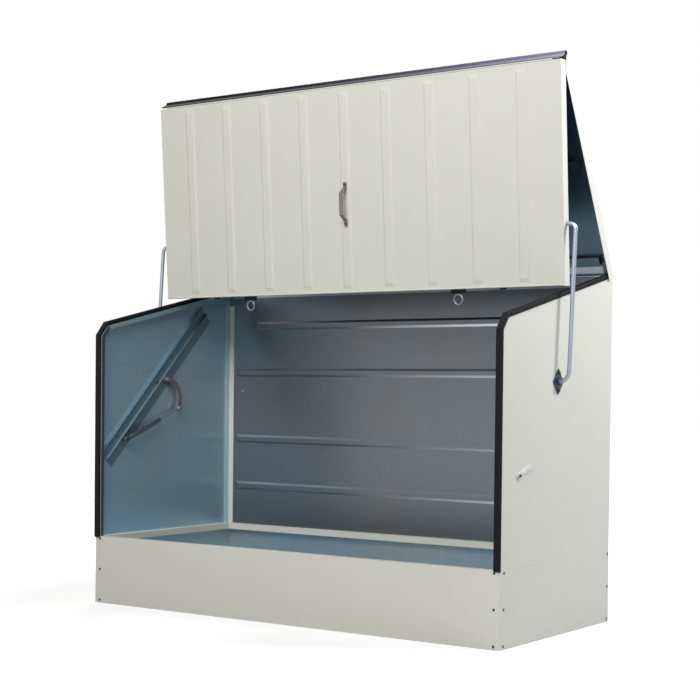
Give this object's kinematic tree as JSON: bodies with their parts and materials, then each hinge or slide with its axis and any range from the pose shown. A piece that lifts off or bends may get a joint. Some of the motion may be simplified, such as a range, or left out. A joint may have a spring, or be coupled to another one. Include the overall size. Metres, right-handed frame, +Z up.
{
  "type": "bicycle locker",
  "caption": "Steel bicycle locker with a folding lid: a flat door lifted on bent side arms and a roof hinged at the rear, over a low walled box.",
  "frame": {"origin": "the middle of the footprint of the four base panels, on the ground", "axes": "+X along the front towards the right side wall, +Y from the front to the rear wall, +Z up"},
  "size_m": [2.0684, 0.89, 2.1865],
  "materials": {
    "cream_paint": "semi-matt cream paint",
    "galvanised_steel": "bare galvanised sheet, slightly glossy",
    "zinc_plate": "bright zinc plating",
    "dark_steel": "dark passivated steel",
    "handle_steel": "dull brown-grey steel",
    "black_rubber": "matt black",
    "gloss_rubber": "glossy black"
  },
  "bodies": {
    "shell": {"floor_tray": "galvanised_steel", "base_front": "cream_paint", "base_rear": "cream_paint", "base_left": "cream_paint", "base_right": "cream_paint", "rear_wall": "cream_paint", "rear_hinge_rail": "galvanised_steel", "left_wall": "cream_paint", "left_front_post": "galvanised_steel", "left_top_rail": "galvanised_steel", "left_rear_post": "galvanised_steel", "left_seal": "black_rubber", "left_brace": "galvanised_steel", "left_axle_bush": "zinc_plate", "left_spring_anchor": "dark_steel", "left_arm_bracket": "dark_steel", "left_arm_keeper": "zinc_plate", "right_wall": "cream_paint", "right_front_post": "galvanised_steel", "right_top_rail": "galvanised_steel", "right_rear_post": "galvanised_steel", "right_seal": "black_rubber", "right_brace": "galvanised_steel", "right_axle_bush": "zinc_plate", "right_spring_anchor": "dark_steel", "right_arm_bracket": "dark_steel", "right_arm_keeper": "zinc_plate"},
    "right_arm": {"right_lift_arm": "zinc_plate", "right_crank": "dark_steel"},
    "left_arm": {"left_lift_arm": "zinc_plate", "left_crank": "dark_steel"},
    "door": {"door_panel": "cream_paint", "door_left_edge": "cream_paint", "door_right_edge": "cream_paint", "door_top_channel": "galvanised_steel", "door_bottom_channel": "galvanised_steel", "door_hinge_rod": "cream_paint", "door_handle": "handle_steel", "handle_upper_screw": "dark_steel", "handle_lower_screw": "dark_steel", "left_lock_loop": "zinc_plate", "right_lock_loop": "zinc_plate", "left_loop_pad": "black_rubber", "right_loop_pad": "black_rubber", "left_buffer": "black_rubber", "right_buffer": "black_rubber"},
    "roof": {"roof_panel": "cream_paint", "roof_front_lip": "cream_paint", "roof_left_edge": "cream_paint", "roof_right_edge": "cream_paint", "roof_hinge_leaf": "galvanised_steel", "roof_rear_stiffener": "galvanised_steel", "roof_front_stiffener": "galvanised_steel", "weather_strip": "gloss_rubber"},
    "left_spring_tube": {"left_spring_tube": "dark_steel"},
    "left_spring_rod": {"left_spring_rod": "zinc_plate"},
    "right_spring_tube": {"right_spring_tube": "dark_steel"},
    "right_spring_rod": {"right_spring_rod": "zinc_plate"}
  },
  "joints": [
    {"name": "right_arm_pivot", "type": "hinge", "parent": "shell", "child": "right_arm", "pos_m": [0.98, -0.02, 0.95236], "axis": [1, 0, 0], "range_deg": [0, 140.6]},
    {"name": "left_arm_pivot", "type": "hinge", "parent": "shell", "child": "left_arm", "pos_m": [-0.98, -0.02, 0.95236], "axis": [1, 0, 0], "range_deg": [-0.2, 140.8]},
    {"name": "door_pivot", "type": "hinge", "parent": "right_arm", "child": "door", "pos_m": [0.987, 0.0216, 1.54426], "axis": [1, 0, 0], "range_deg": [-145, 0.3]},
    {"name": "roof_hinge", "type": "hinge", "parent": "door", "child": "roof", "pos_m": [0, -0.04296, 2.15114], "axis": [1, 0, 0], "range_deg": [-0.2, 79.4]},
    {"name": "left_spring_pivot", "type": "hinge", "parent": "shell", "child": "left_spring_tube", "pos_m": [-0.951, -0.286, 0.69], "axis": [1, 0, 0], "range_deg": [-0.1, 33.7]},
    {"name": "left_spring_slide", "type": "slide", "parent": "left_spring_tube", "child": "left_spring_rod", "axis": [0, 0.9321, 0.3621], "range_m": [-0.001, 0.138]},
    {"name": "right_spring_pivot", "type": "hinge", "parent": "shell", "child": "right_spring_tube", "pos_m": [0.951, -0.286, 0.69], "axis": [1, 0, 0], "range_deg": [-0.1, 33.7]},
    {"name": "right_spring_slide", "type": "slide", "parent": "right_spring_tube", "child": "right_spring_rod", "axis": [0, 0.9321, 0.3621], "range_m": [-0.001, 0.138]}
  ],
  "couplings": [
    {"joint": "left_arm_pivot", "follows": "right_arm_pivot", "ratio": 1},
    {"joint": "door_pivot", "follows": "right_arm_pivot", "ratio": -1.0292},
    {"joint": "roof_hinge", "follows": "right_arm_pivot", "ratio": 0.56293},
    {"joint": "left_spring_pivot", "follows": "right_arm_pivot", "ratio": 0.23809},
    {"joint": "left_spring_slide", "follows": "right_arm_pivot", "m_per_rad": 0.05582},
    {"joint": "right_spring_pivot", "follows": "right_arm_pivot", "ratio": 0.23809},
    {"joint": "right_spring_slide", "follows": "right_arm_pivot", "m_per_rad": 0.05582}
  ]
}
